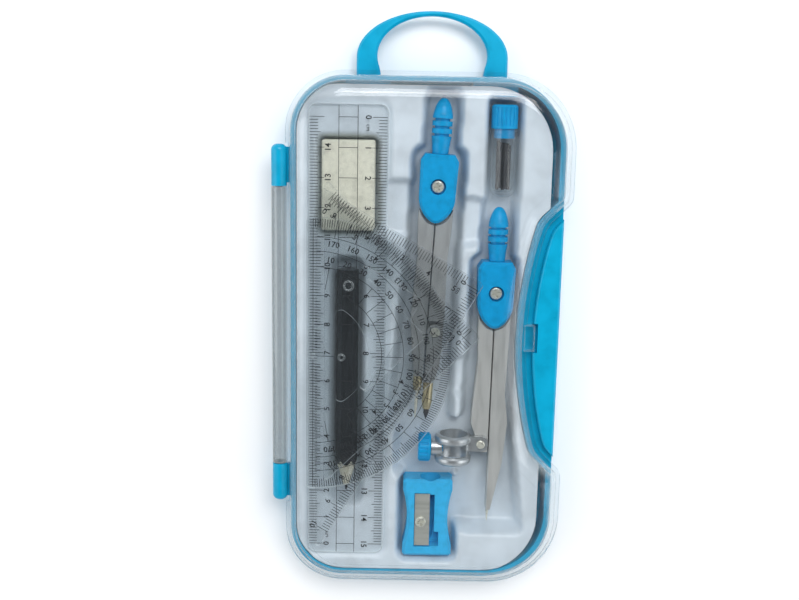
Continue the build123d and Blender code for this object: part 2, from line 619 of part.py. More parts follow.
def a_knee_rivet():
    head = post(*KNEE, LEG_HALF_THICK + 0.1, LEG_HALF_THICK + 0.7, 1.7)
    head = fillet(head.faces().sort_by(Axis.Z)[-1].edges(), 0.4)
    return head + post(*KNEE, -LEG_HALF_THICK, LEG_HALF_THICK + 0.1, 1.0)


def a_lead_sleeve():
    return turned_y(2.0, 0, [(0.95, -78), (1.3, -78), (1.75, -75.5), (1.75, -68), (0.95, -68)])


def a_drawing_lead():
    return turned_y(2.0, 0, [(0, -81.6), (0.2, -81.6), (0.95, -79.6), (0.95, -68.2), (0, -68.2)])


def a_needle_ferrule():
    return turned_y(-1.8, 0, [(0.55, -71.5), (1.2, -71.5), (1.6, -70), (1.6, -66), (0.55, -66)])


def b_needle_leg():
    outer = [(5.5, -13.2), (5.0, -36), (6.3, -46), (5.1, -61), (3.2, -71), (1.7, -78.6)]
    return leg_root(1) + leg_blade(1, outer, -78.6)


def b_holder_leg():
    outer = [(5.5, -13.2), (5.0, -24), (6.4, -44), (6.4, -47), (5.0, -50.5), (4.6, -54.5), (2.4, -57.2)]
    leg = leg_root(-1) + leg_blade(-1, outer, -57.2)
    return leg - post(*HOLDER_RIVET, -3, 3, 1.0)


def b_holder_rivet():
    top = LEG_HALF_THICK + 2.3
    head = post(*HOLDER_RIVET, top + 0.1, top + 0.8, 1.5)
    head = fillet(head.faces().sort_by(Axis.Z)[-1].edges(), 0.4)
    return head + post(*HOLDER_RIVET, -LEG_HALF_THICK, top + 0.1, 1.0)


def b_holder_ring():
    """Pencil ring: two bands over an open window, a lug to the leg and a threaded boss."""
    x, y, z = RING_CENTRE
    half, neck = RING_LENGTH / 2, RING_RADIUS - 0.6
    right_half = [(neck, 2.2), (RING_RADIUS - 0.1, 2.8), (RING_RADIUS, 3.7), (RING_RADIUS - 0.2, 4.6),
                  (RING_RADIUS - 0.9, half)]
    bead = [(radius, -along) for radius, along in reversed(right_half)] + right_half
    profile = [(RING_BORE, -half)] + bead + [(RING_BORE, half)]
    ring = Pos(0, y, 0) * turned_y(x, z, profile)
    ring -= block(x - RING_RADIUS - 1, x + 4.4, y - 2.2, y + 2.2, z + 1.2, z + 8)
    lug_low, lug_high = LEG_HALF_THICK + 0.3, LEG_HALF_THICK + 2.2
    ring += post(*HOLDER_RIVET, lug_low, lug_high, 2.7)
    ring += block(x + 2, HOLDER_RIVET[0], HOLDER_RIVET[1] - 2.7, HOLDER_RIVET[1] + 2.5,
                  lug_low, lug_high)
    ring += rod_x(x - RING_RADIUS - 1.2, x, y, z, 3.0)
    ring -= rod_y(x, y - half - 1, y + half + 1, z, RING_BORE)
    ring -= rod_x(x - RING_RADIUS - 3, x, y, z, 1.5 + RUNNING)
    return ring - post(*HOLDER_RIVET, 0, 6, 1.0 + RUNNING)


def b_clamp_knob():
    """Ribbed knob with the screw that presses on the pencil."""
    x, y, z = RING_CENTRE
    right = x - RING_RADIUS - 1.4
    knob = rod_x(right - KNOB_LENGTH, right, y, z, KNOB_RADIUS)
    knob = chamfer(knob.edges().filter_by(GeomType.CIRCLE), 0.6)
    for n in range(18):
        turn = math.radians(360 / 18 * n)
        knob -= rod_x(right - KNOB_LENGTH, right - 0.9, y + KNOB_RADIUS * math.cos(turn),
                      z + KNOB_RADIUS * math.sin(turn), 0.45)
    return knob + rod_x(right, x - RING_BORE + 1.4, y, z, 1.5)


# ------------------------------------------------------------------ all pieces
def compass_pieces(prefix, place, own):
    """Head, grip, screw and nut that both compasses share, and a compass's own parts."""
    shared = {"head_front": head_shell, "head_back": head_back, "grip": compass_grip,
              "hinge_screw": hinge_screw, "hinge_nut": hinge_nut}
    return {f"{prefix}_{name}": place * make() for name, make in {**shared, **own}.items()}


def all_pieces():
    pieces = {
        "case_base": case_base(),
        "case_lid": case_lid(),
        "insert_tray": insert_tray(),
        "carrying_handle": carrying_handle(),
        "ruler": ruler(),
        "protractor": protractor(),
        "set_square_45": set_square(SQUARE_45_CORNER, (SQUARE_45_LEG, SQUARE_45_LEG),
                                    SQUARE_45_LEVEL, 13.0, 1.0),
        "set_square_60": set_square(SQUARE_60_CORNER, SQUARE_60_LEGS, SQUARE_60_LEVEL, 15.0, 1.0),
        "eraser": eraser(),
        "pencil_barrel": pencil_barrel(),
        "pencil_core": pencil_core(),
        "lead_tube": lead_tube(),
        "lead_cap": lead_cap(),
        "spare_leads": spare_leads(),
        "sharpener_body": sharpener_body(),
        "sharpener_blade": sharpener_blade(),
        "sharpener_screw": sharpener_screw(),
    }
    pieces.update(compass_pieces("compass_a", COMPASS_A, {
        "needle_leg": a_needle_leg, "knee_leg": a_knee_leg, "lower_leg": a_lower_leg,
        "knee_rivet": a_knee_rivet, "lead_sleeve": a_lead_sleeve,
        "drawing_lead": a_drawing_lead, "needle_ferrule": a_needle_ferrule,
        "needle": lambda: needle(-1, 1.8, -66.2, -81.8, 0.55)}))
    pieces.update(compass_pieces("compass_b", COMPASS_B, {
        "needle_leg": b_needle_leg, "holder_leg": b_holder_leg, "holder_rivet": b_holder_rivet,
        "holder_ring": b_holder_ring, "clamp_knob": b_clamp_knob,
        "needle": lambda: needle(1, 0.95, -78.6, -83.6, 0.55)}))
    return pieces


os.makedirs("parts", exist_ok=True)
for node, shape in all_pieces().items():
    export_step(shape, f"parts/{node}.step")
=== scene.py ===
import math

import bpy
import numpy as np
from mathutils import Matrix, Vector
from mathutils.bvhtree import BVHTree


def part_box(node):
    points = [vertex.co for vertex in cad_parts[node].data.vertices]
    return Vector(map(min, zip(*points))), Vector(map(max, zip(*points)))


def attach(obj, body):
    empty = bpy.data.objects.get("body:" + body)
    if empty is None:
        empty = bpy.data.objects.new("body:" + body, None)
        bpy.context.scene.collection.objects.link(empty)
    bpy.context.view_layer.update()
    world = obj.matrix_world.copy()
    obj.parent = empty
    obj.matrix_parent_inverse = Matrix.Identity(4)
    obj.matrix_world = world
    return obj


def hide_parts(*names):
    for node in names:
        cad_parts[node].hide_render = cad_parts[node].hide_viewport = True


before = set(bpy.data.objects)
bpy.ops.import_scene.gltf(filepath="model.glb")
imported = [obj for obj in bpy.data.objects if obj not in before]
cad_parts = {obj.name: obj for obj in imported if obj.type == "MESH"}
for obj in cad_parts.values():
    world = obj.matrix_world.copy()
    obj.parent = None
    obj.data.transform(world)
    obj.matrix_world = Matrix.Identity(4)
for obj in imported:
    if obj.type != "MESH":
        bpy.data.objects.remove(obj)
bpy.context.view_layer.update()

# A drafting compass set in a clear-lidded case, lying on its back. Metres, in the frame of
# the CAD model: X across the case, Y towards its handle, Z up.

MM = 0.001

# ---- camera: looks down on the lid from a little towards the handle's end
CAMERA_TILT = 11.0
CAMERA_ROLL = 1.06
CAMERA_DISTANCE = 346.5 * MM
CAMERA_LENS = 45.85
CAMERA_AIM = (-9.38 * MM, 12.84 * MM, 12.0 * MM)

# ---- tray sheet
TRAY_GRID = 0.5 * MM
TRAY_SPREAD = 0.8 * MM          # pockets open by this much before their edges are rounded
TRAY_ROUND = 0.8 * MM
TRAY_THICK = 0.6 * MM

# ---- printed marks
INK = 0.03 * MM
TICK = 0.2 * MM
LINE = 0.19 * MM
NUMERAL = 2.8 * MM
UNIT = 1.9 * MM                 # height of the letters after a scale's zero
BOLD = 0.045 * MM
EDGE_GAP = 0.5 * MM             # between a sheet's edge and its ticks
RULER_TICKS = (3.2, 4.1, 5.3)   # lengths at 1, 5 and 10 mm
SQUARE_TICKS = (3.4, 4.2, 5.0)
PROTRACTOR_RADIUS = 47.7 * MM

# ---- set squares: their right corners from the high corner of each sheet's box, the ways of
# the two legs in degrees, and for each leg where its scale starts, its sense and its length
SQUARE_60 = {"corner": (0.37, -31.77), "turns": (150.0, 240.0),
             "scales": ((58.0, -1, 52), (3.0, 1, 100))}
SQUARE_45 = {"corner": (0.41, -51.62), "turns": (135.0, 225.0),
             "scales": ((4.0, 1, 65), (4.0, 1, 65))}

# ---- clear plastic: roughness of its mirror, how upright a face is before it counts as an edge
# and takes the flat edge colour (painted light and shade of refraction), and the mirror's share
# seen straight on and at a glancing angle
GLOSS_ROUGH = (0.04, 0.08)
UPRIGHT = (0.25, 0.85)
MIRROR_POWER = 5.0
MIRROR_SHARE = (0.04, 0.9)

# ---- ring bosses, from the low corner of each sheet's box, in mm
BOSS_60 = (10.92, 92.97)
BOSS_45 = (5.93, 43.92)
BOSS_TUBE = 0.28 * MM


# ------------------------------------------------------------------ materials
def new_material(name):
    """A new material and its emptied node tree."""
    made = bpy.data.materials.new(name)
    made.use_nodes = True
    tree = made.node_tree
    tree.nodes.clear()
    return made, tree


def node(tree, kind, **values):
    """Add a node and set its sockets or properties by name."""
    made = tree.nodes.new(kind)
    for key, value in values.items():
        if key in made.inputs:
            made.inputs[key].default_value = value
        else:
            setattr(made, key, value)
    return made


def noise_field(tree, coords, scale, detail=3.0, stretch=(1, 1, 1)):
    """A noise value in object space, stretched along the axes as asked."""
    mapping = node(tree, "ShaderNodeMapping")
    mapping.inputs["Scale"].default_value = stretch
    tree.links.new(coords, mapping.inputs["Vector"])
    noise = node(tree, "ShaderNodeTexNoise", Scale=scale, Detail=detail)
    tree.links.new(mapping.outputs["Vector"], noise.inputs["Vector"])
    return noise.outputs["Fac"]


def ramp(tree, fac, stops):
    """Turn a value into a colour along the given stops."""
    made = node(tree, "ShaderNodeValToRGB")
    elements = made.color_ramp.elements
    while len(elements) < len(stops):
        elements.new(0.5)
    for element, (position, colour) in zip(elements, stops):
        element.position = position
        element.color = (*colour, 1.0)
    tree.links.new(fac, made.inputs["Fac"])
    return made.outputs["Color"]


def spread(tree, fac, low, high):
    """Stretch a value between 0 and 1 over another range."""
    made = node(tree, "ShaderNodeMapRange")
    made.inputs["To Min"].default_value = low
    made.inputs["To Max"].default_value = high
    tree.links.new(fac, made.inputs["Value"])
    return made.outputs["Result"]


def shaded(colour):
    """A darker and a lighter neighbour of a colour."""
    return tuple(0.86 * c for c in colour), tuple(min(1.0, 1.08 * c) for c in colour)


def solid(name, colour, rough=(0.25, 0.4), metal=0.0, coarse=180.0, fine=2500.0, bump=0.04,
          stretch=(1, 1, 1), specular=0.5):
    """An opaque surface: mottled colour, uneven roughness and a fine grain."""
    made, tree = new_material(name)
    out = node(tree, "ShaderNodeOutputMaterial")
    coords = node(tree, "ShaderNodeTexCoord").outputs["Object"]
    shader = node(tree, "ShaderNodeBsdfPrincipled")
    shader.inputs["Metallic"].default_value = metal
    shader.inputs["Specular IOR Level"].default_value = specular
    broad = noise_field(tree, coords, coarse, 4.0, stretch)
    grain = noise_field(tree, coords, fine, 2.0, stretch)
    low, high = shaded(colour)
    stops = [(0.3, low), (0.5, colour), (0.72, high)]
    tree.links.new(ramp(tree, broad, stops), shader.inputs["Base Color"])
    tree.links.new(spread(tree, broad, *rough), shader.inputs["Roughness"])
    bumps = node(tree, "ShaderNodeBump", Strength=bump, Distance=0.2 * MM)
    tree.links.new(grain, bumps.inputs["Height"])
    tree.links.new(bumps.outputs["Normal"], shader.inputs["Normal"])
    tree.links.new(shader.outputs["BSDF"], out.inputs["Surface"])
    return made


def clear(name, tint, edge, haze, edge_share, coarse=60.0, bar=None):
    """Clear polished plastic. It passes what is behind it, mirrors at a glancing angle and carries
    a faint uneven haze. Its upright walls and cut edges are painted with a flat edge colour, painted
    light and shade that stands in for the refraction there. A bar, given as an X it lies below, its
    colour and its share, is a solid rod painted greyer, as painted shade for the light it bends."""
    made, tree = new_material(name)
    out = node(tree, "ShaderNodeOutputMaterial")
    texture = node(tree, "ShaderNodeTexCoord")
    coords = texture.outputs["Object"]
    through = node(tree, "ShaderNodeBsdfTransparent")
    through.inputs["Color"].default_value = (*tint, 1.0)
    body = node(tree, "ShaderNodeBsdfPrincipled")
    body.inputs["Base Color"].default_value = (*edge, 1.0)
    broad = noise_field(tree, coords, coarse, 4.0)
    tree.links.new(spread(tree, broad, 0.15, 0.3), body.inputs["Roughness"])
    gloss = node(tree, "ShaderNodeBsdfGlossy")
    tree.links.new(spread(tree, broad, *GLOSS_ROUGH), gloss.inputs["Roughness"])
    bumps = node(tree, "ShaderNodeBump", Strength=0.02, Distance=0.3 * MM)
    tree.links.new(broad, bumps.inputs["Height"])
    tree.links.new(bumps.outputs["Normal"], gloss.inputs["Normal"])
    # Painted edge light and shade: upright faces turn to the flat edge colour, standing in for
    # refraction at walls and cut edges; the real faint haze is added to that share.
    facing = node(tree, "ShaderNodeSeparateXYZ")
    tree.links.new(texture.outputs["Normal"], facing.inputs["Vector"])
    level = node(tree, "ShaderNodeMath", operation="ABSOLUTE")
    tree.links.new(facing.outputs["Z"], level.inputs[0])
    wall = node(tree, "ShaderNodeMapRange")
    wall.inputs["From Min"].default_value, wall.inputs["From Max"].default_value = UPRIGHT
    wall.inputs["To Min"].default_value = edge_share
    wall.inputs["To Max"].default_value = 0.0
    tree.links.new(level.outputs[0], wall.inputs["Value"])
    haze_and_edge_light = node(tree, "ShaderNodeMath", operation="ADD")
    tree.links.new(wall.outputs["Result"], haze_and_edge_light.inputs[0])
    tree.links.new(spread(tree, broad, *haze), haze_and_edge_light.inputs[1])
    share = haze_and_edge_light.outputs[0]
    if bar:
        # Painted shade: below the bar's X the colour turns greyer and its share rises, standing in for
        # the shade a solid clear rod shows.
        across = node(tree, "ShaderNodeSeparateXYZ")
        tree.links.new(coords, across.inputs["Vector"])
        rod = node(tree, "ShaderNodeMapRange")
        rod.inputs["From Min"].default_value = bar[0]
        rod.inputs["From Max"].default_value = bar[0] - 0.4 * MM
        tree.links.new(across.outputs["X"], rod.inputs["Value"])
        tree.links.new(ramp(tree, rod.outputs["Result"], [(0.0, edge), (1.0, bar[1])]),
                       body.inputs["Base Color"])
        rod_share = node(tree, "ShaderNodeMath", operation="MULTIPLY")
        rod_share.inputs[1].default_value = bar[2]
        tree.links.new(rod.outputs["Result"], rod_share.inputs[0])
        both = node(tree, "ShaderNodeMath", operation="ADD", use_clamp=True)
        tree.links.new(share, both.inputs[0])
        tree.links.new(rod_share.outputs[0], both.inputs[1])
        share = both.outputs[0]
    inside = node(tree, "ShaderNodeMixShader")
    tree.links.new(share, inside.inputs["Fac"])
    tree.links.new(through.outputs["BSDF"], inside.inputs[1])
    tree.links.new(body.outputs["BSDF"], inside.inputs[2])
    slant = node(tree, "ShaderNodeLayerWeight", Blend=0.5)
    steep = node(tree, "ShaderNodeMath", operation="POWER")
    steep.inputs[1].default_value = MIRROR_POWER
    tree.links.new(slant.outputs["Facing"], steep.inputs[0])
    top = node(tree, "ShaderNodeMixShader")
    tree.links.new(spread(tree, steep.outputs[0], *MIRROR_SHARE), top.inputs["Fac"])
    tree.links.new(inside.outputs["Shader"], top.inputs[1])
    tree.links.new(gloss.outputs["BSDF"], top.inputs[2])
    tree.links.new(top.outputs["Shader"], out.inputs["Surface"])
    return made


def pencil_coat(name):
    """Black lacquer on the barrel, bare wood where the point is cut."""
    made, tree = new_material(name)
    out = node(tree, "ShaderNodeOutputMaterial")
    texture = node(tree, "ShaderNodeTexCoord")
    coords = texture.outputs["Object"]
    shader = node(tree, "ShaderNodeBsdfPrincipled")
    facing = node(tree, "ShaderNodeSeparateXYZ")
    tree.links.new(texture.outputs["Normal"], facing.inputs["Vector"])
    cut = node(tree, "ShaderNodeMapRange")
    cut.inputs["From Min"].default_value = -0.08
    cut.inputs["From Max"].default_value = -0.16
    tree.links.new(facing.outputs["Y"], cut.inputs["Value"])
    grain = noise_field(tree, coords, 900.0, 4.0, (1.0, 0.12, 1.0))
    wood = ramp(tree, grain, [(0.3, (0.66, 0.6, 0.46)), (0.55, (0.82, 0.77, 0.63)),
                              (0.75, (0.9, 0.86, 0.74))])
    paint = ramp(tree, grain, [(0.3, (0.012, 0.013, 0.015)), (0.7, (0.03, 0.032, 0.036))])
    mix = node(tree, "ShaderNodeMix", data_type="RGBA")
    tree.links.new(cut.outputs["Result"], mix.inputs[0])
    tree.links.new(paint, mix.inputs[6])
    tree.links.new(wood, mix.inputs[7])
    tree.links.new(mix.outputs[2], shader.inputs["Base Color"])
    tree.links.new(spread(tree, cut.outputs["Result"], 0.25, 0.7), shader.inputs["Roughness"])
    bumps = node(tree, "ShaderNodeBump", Strength=0.15, Distance=0.15 * MM)
    tree.links.new(grain, bumps.inputs["Height"])
    tree.links.new(bumps.outputs["Normal"], shader.inputs["Normal"])
    tree.links.new(shader.outputs["BSDF"], out.inputs["Surface"])
    return made


materials = {
    "case": solid("case_blue", (0.0, 0.34, 0.56), (0.24, 0.36), specular=0.3),
    "tray": solid("tray_white", (0.63, 0.69, 0.74), (0.3, 0.42), coarse=90.0, bump=0.03),
    "tool": solid("tool_blue", (0.0, 0.31, 0.62), (0.3, 0.42), coarse=400.0, bump=0.06, specular=0.25),
    "sharpener": solid("sharpener_blue", (0.04, 0.42, 0.74), (0.3, 0.42), coarse=350.0, bump=0.06,
                       specular=0.25),
    "eraser": solid("eraser_cream", (0.78, 0.75, 0.62), (0.6, 0.75), coarse=500.0, bump=0.12),
    "graphite": solid("graphite", (0.045, 0.045, 0.05), (0.35, 0.55), coarse=900.0, bump=0.1),
    "ink": solid("ink_black", (0.012, 0.013, 0.016), (0.4, 0.6), coarse=1500.0, bump=0.02),
    "leg": solid("leg_satin", (0.49, 0.49, 0.47), (0.36, 0.48), metal=0.35, coarse=500.0,
                 bump=0.1, stretch=(1.0, 0.15, 1.0)),
    # Compass A's legs: the same satin steel, darker as painted shade for their place under the sheets.
    "leg_dull": solid("leg_dull", (0.36, 0.37, 0.37), (0.38, 0.5), metal=0.35, coarse=500.0,
                      bump=0.1, stretch=(1.0, 0.15, 1.0)),
    "blade": solid("blade_ground", (0.5, 0.5, 0.45), (0.3, 0.45), metal=0.5, coarse=700.0,
                   bump=0.12, stretch=(0.1, 1.0, 1.0)),
    "screw": solid("screw_plated", (0.7, 0.69, 0.6), (0.22, 0.36), metal=0.5, coarse=900.0),
    "ring": solid("ring_plated", (0.5, 0.52, 0.53), (0.25, 0.36), metal=0.75, coarse=700.0),
    "brass": solid("brass_plated", (0.5, 0.43, 0.27), (0.25, 0.38), metal=0.7, coarse=800.0),
    # The second colour of each clear material is painted edge light and shade; the lid's bar colour is
    # painted shade on its solid hinge rod.
    "lid": clear("lid_clear", (0.985, 0.992, 0.995), (0.5, 0.58, 0.61), haze=(0.0, 0.004),
                 edge_share=0.5, bar=(-47.9 * MM, (0.24, 0.28, 0.29), 0.45)),
    "sheet": clear("sheet_clear", (0.985, 0.99, 0.992), (0.8, 0.86, 0.88), haze=(0.0, 0.004),
                   edge_share=0.85, coarse=120.0),
    "vial": clear("vial_clear", (0.95, 0.96, 0.965), (0.7, 0.76, 0.79), haze=(0.0, 0.02),
                  edge_share=0.12, coarse=300.0),
    "pencil": pencil_coat("pencil_black"),
}

LOOKS = {
    "case_base": "case", "carrying_handle": "case", "case_lid": "lid",
    "ruler": "sheet", "protractor": "sheet", "set_square_45": "sheet", "set_square_60": "sheet",
    "eraser": "eraser", "pencil_barrel": "pencil", "pencil_core": "graphite",
    "lead_tube": "vial", "lead_cap": "tool", "spare_leads": "graphite",
    "sharpener_body": "sharpener", "sharpener_blade": "blade", "sharpener_screw": "screw",
    "insert_tray": "tray",
    "head_front": "tool", "head_back": "tool", "grip": "tool", "hinge_screw": "screw",
    "hinge_nut": "screw", "compass_a_needle_leg": "leg_dull", "compass_a_knee_leg": "leg_dull",
    "compass_a_lower_leg": "leg_dull", "compass_a_knee_rivet": "screw",
    "compass_a_lead_sleeve": "brass", "compass_a_drawing_lead": "graphite",
    "compass_a_needle_ferrule": "brass", "compass_a_needle": "screw",
    "compass_b_needle_leg": "leg", "compass_b_holder_leg": "leg",
    "compass_b_holder_rivet": "screw", "compass_b_holder_ring": "ring",
    "compass_b_clamp_knob": "tool", "compass_b_needle": "screw",
}

for name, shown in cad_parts.items():
    look = LOOKS.get(name) or LOOKS[name.replace("compass_a_", "").replace("compass_b_", "")]
    shown.data.materials.clear()
    shown.data.materials.append(materials[look])


# ------------------------------------------------------------------ mesh helpers
def mesh_object(name, points, faces, look, smooth=False):
    mesh = bpy.data.meshes.new(name)
    mesh.from_pydata([tuple(p) for p in points], [], faces)
    mesh.update()
    for polygon in mesh.polygons:
        polygon.use_smooth = smooth
    made = bpy.data.objects.new(name, mesh)
    bpy.context.scene.collection.objects.link(made)
    mesh.materials.append(materials[look])
    return made


# ------------------------------------------------------------------ tray
def blurred(field, reach):
    """Round a grid of heights with a bell curve of that reach, in cells."""
    size = int(math.ceil(3 * reach))
    weights = np.exp(-0.5 * (np.arange(-size, size + 1) / reach) ** 2)
    weights /= weights.sum()
    for axis in (0, 1):
        padded = np.pad(field, [(size, size) if a == axis else (0, 0) for a in (0, 1)], "edge")
        field = sum(w * np.take(padded, np.arange(field.shape[axis]) + k, axis)
                    for k, w in enumerate(weights))
    return field


def lowered(field, reach):
    """Widen hollows in a grid of heights by that reach, in cells."""
    size = int(math.ceil(reach))
    padded = np.pad(field, size, "edge")
    rows, columns = field.shape
    result = field.copy()
    for i in range(-size, size + 1):
        for j in range(-size, size + 1):
            if i * i + j * j <= reach * reach:
                result = np.minimum(result, padded[size + i:size + i + rows,
                                                   size + j:size + j + columns])
    return result


def formed_tray():
    """The insert as one formed sheet with rounded pocket edges, over the CAD tray's shape."""
    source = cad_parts["insert_tray"].data
    tree = BVHTree.FromPolygons([v.co for v in source.vertices],
                                [list(p.vertices) for p in source.polygons])
    low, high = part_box("insert_tray")
    xs = np.arange(low.x - TRAY_GRID, high.x + 2 * TRAY_GRID, TRAY_GRID)
    ys = np.arange(low.y - TRAY_GRID, high.y + 2 * TRAY_GRID, TRAY_GRID)
    heights = np.full((len(xs), len(ys)), np.nan)
    down = Vector((0, 0, -1))
    for i, x in enumerate(xs):
        for j, y in enumerate(ys):
            hit = tree.ray_cast(Vector((x, y, high.z + MM)), down)[0]
            if hit is not None:
                heights[i, j] = hit.z
    inside = ~np.isnan(heights)
    field = np.where(inside, heights, high.z)
    field = blurred(lowered(field, TRAY_SPREAD / TRAY_GRID), TRAY_ROUND / TRAY_GRID)
    ring = np.zeros_like(inside)
    for i in (-1, 0, 1):
        for j in (-1, 0, 1):
            ring |= np.roll(np.roll(inside, i, 0), j, 1)
    rim = ring & ~inside
    count = 0
    index = np.full(inside.shape, -1)
    points = []
    edge_level = high.z - 0.6 * MM
    for i, j in zip(*np.nonzero(ring)):
        x, y = xs[i], ys[j]
        if rim[i, j]:
            near = tree.find_nearest(Vector((x, y, edge_level)))[0]
            x, y = near.x, near.y
        index[i, j] = count
        count += 1
        points.append((x, y, field[i, j]))
    a, b = index[:-1, :-1], index[1:, :-1]
    c, d = index[1:, 1:], index[:-1, 1:]
    whole = (a >= 0) & (b >= 0) & (c >= 0) & (d >= 0)
    top = np.stack([a[whole], b[whole], c[whole], d[whole]], 1)
    used = np.unique(top)
    renumber = np.full(count, -1)
    renumber[used] = np.arange(len(used))
    top = renumber[top]
    points = np.array(points)[used]
    under = points - np.array([0, 0, TRAY_THICK])
    size = len(points)
    edges = {}
    for quad in top:
        for k in range(4):
            pair = (int(quad[k]), int(quad[(k + 1) % 4]))
            if (pair[1], pair[0]) in edges:
                del edges[(pair[1], pair[0])]
            else:
                edges[pair] = True
    sides = [(q, p, p + size, q + size) for p, q in edges]
    faces = [tuple(map(int, f)) for f in top]
    faces += [tuple(int(v) + size for v in f[::-1]) for f in top]
    faces += sides
    made = mesh_object("tray_sheet", np.vstack([points, under]), faces, "tray", smooth=True)
    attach(made, "case")
    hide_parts("insert_tray")


formed_tray()


# ------------------------------------------------------------------ printed marks
class Print:
    """Marks printed on a sheet, as thin raised strokes and numerals on its upper face."""

    def __init__(self, name, body, level):
        self.name, self.body, self.level = name, body, level
        self.points, self.faces = [], []

    def stroke(self, start, end, width=TICK):
        """A straight printed line from start to end."""
        start, end = Vector(start), Vector(end)
        along = (end - start).normalized()
        side = Vector((-along.y, along.x)) * (width / 2)
        base = len(self.points)
        for z in (self.level, self.level + INK):
            for corner in (start + side, start - side, end - side, end + side):
                self.points.append((corner.x, corner.y, z))
        for f in ((0, 1, 2, 3), (7, 6, 5, 4), (0, 4, 5, 1), (1, 5, 6, 2), (2, 6, 7, 3), (3, 7, 4, 0)):
            self.faces.append(tuple(base + v for v in f[::-1]))

    def arc(self, centre, radius, low, high, steps):
        """A printed arc as short lines."""
        turns = [math.radians(low + (high - low) * k / steps) for k in range(steps + 1)]
        spots = [Vector(centre) + radius * Vector((math.cos(t), math.sin(t))) for t in turns]
        for start, end in zip(spots, spots[1:]):
            self.stroke(start, end, LINE)

    def text(self, words, centre, turn, size=NUMERAL):
        """Numerals centred at a point and turned by that many degrees."""
        curve = bpy.data.curves.new("numeral", "FONT")
        curve.body = words
        curve.size = size
        curve.align_x, curve.align_y = "CENTER", "CENTER"
        curve.extrude = INK / 2
        curve.offset = BOLD * size / NUMERAL
        curve.resolution_u = 2
        holder = bpy.data.objects.new("numeral", curve)
        mesh = bpy.data.meshes.new_from_object(holder)
        place = Matrix.Translation((centre[0], centre[1], self.level + INK / 2)) @ Matrix.Rotation(
            math.radians(turn), 4, "Z")
        base = len(self.points)
        self.points += [tuple(place @ v.co) for v in mesh.vertices]
        self.faces += [tuple(base + v for v in p.vertices) for p in mesh.polygons]
        bpy.data.objects.remove(holder)
        bpy.data.curves.remove(curve)
        bpy.data.meshes.remove(mesh)

    def scale(self, zero, along, inward, count, reach, number_gap, turn, lengths):
        """A millimetre scale: ticks from an edge, longer at 5 and 10, numbered in centimetres."""
        zero, along, inward = Vector(zero), Vector(along).normalized(), Vector(inward).normalized()
        for k in range(count + 1):
            kind = 2 if k % 10 == 0 else 1 if k % 5 == 0 else 0
            spot = zero + along * (k * MM)
            self.stroke(spot + inward * EDGE_GAP, spot + inward * lengths[kind] * MM)
            if k % 10 == 0 and reach[0] <= k // 10 <= reach[1]:
                self.text(str(k // 10), spot + inward * number_gap, turn)
        self.text("cm", zero + inward * number_gap + along * 3.4 * MM, turn, UNIT)

    def finish(self):
        """Make one object of all the marks, riding on its sheet."""
        made = mesh_object(self.name, self.points, self.faces, "ink")
        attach(made, self.body)


def ruler_print():
    """Two opposed centimetre scales and the ladder between them."""
    low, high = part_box("ruler")
    marks = Print("ruler_scale", "ruler", high.z)
    middle = (low.x + high.x) / 2
    zero = high.y - 4.4 * MM
    last = zero - 150 * MM
    marks.scale((high.x, zero), (0, -1), (-1, 0), 150, (0, 15), 6.8 * MM, -90,
                RULER_TICKS)
    marks.scale((low.x, last), (0, 1), (1, 0), 150, (0, 14), 6.6 * MM, 90,
                RULER_TICKS)
    left, right = middle - 3.2 * MM, middle + 3.1 * MM
    for x in (left, right):
        marks.stroke((x, high.y - 0.6 * MM), (x, low.y + 0.6 * MM), LINE)
    for k in range(16):
        y = zero - 10 * k * MM
        marks.stroke((left, y), (right, y), LINE)
    marks.finish()


def protractor_print():
    """Degree ticks, two rings of numerals and rays about the centre."""
    low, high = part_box("protractor")
    radius = PROTRACTOR_RADIUS
    centre = Vector((high.x - radius, (low.y + high.y) / 2))
    marks = Print("protractor_scale", "protractor", high.z)

    def ray(turn, near, far, width=TICK):
        way = Vector((math.cos(math.radians(turn)), math.sin(math.radians(turn))))
        marks.stroke(centre + way * near, centre + way * far, width)

    for k in range(181):
        turn = k - 90
        depth = 6.4 if k % 10 == 0 else 4.6 if k % 5 == 0 else 3.4
        ray(turn, radius - depth * MM, radius - 0.5 * MM)
    for k in range(10, 180, 10):
        turn = k - 90
        way = Vector((math.cos(math.radians(turn)), math.sin(math.radians(turn))))
        marks.text(str(k), centre + way * 39.0 * MM, turn - 90)
        marks.text(str(180 - k), centre + way * 33.6 * MM, turn - 90)
        ray(turn, 23.5 * MM, 31.0 * MM, LINE)
    for ring in (31.0, 36.3, 41.2):
        marks.arc(centre, ring * MM, -88, 88, 80)
    marks.arc(centre, 23.5 * MM, -60, 60, 40)
    ray(0, 1.2 * MM, 7.0 * MM, LINE)
    ray(0, 20.0 * MM, 31.0 * MM, LINE)
    for side in (-1, 1):
        ray(90 * side, 1.2 * MM, radius - 1.0 * MM, LINE)
        for k in range(3, 42):
            if k % 10:
                spot = centre + Vector((0, side * k * MM))
                depth = 2.6 if k % 5 else 3.4
                marks.stroke(spot + Vector((0.6 * MM, 0)), spot + Vector((depth * MM, 0)))
    marks.finish()


def square_print(name, body, shape):
    """Numbered scales along both legs of a set square."""
    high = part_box(body)[1]
    marks = Print(name, body, high.z)
    corner = Vector((high.x + shape["corner"][0] * MM, high.y + shape["corner"][1] * MM))
    ways = [Vector((math.cos(math.radians(t)), math.sin(math.radians(t)))) for t in shape["turns"]]
    for own, other, (start, sign, count) in zip(ways, ways[::-1], shape["scales"]):
        along = own * sign
        reading = math.degrees(math.atan2(along.y, along.x))
        marks.scale(corner + own * (start * MM), along, other, count, (0, 20), 6.4 * MM, reading,
                    SQUARE_TICKS)
    marks.finish()


ruler_print()
protractor_print()
square_print("square_60_scale", "set_square_60", SQUARE_60)
square_print("square_45_scale", "set_square_45", SQUARE_45)


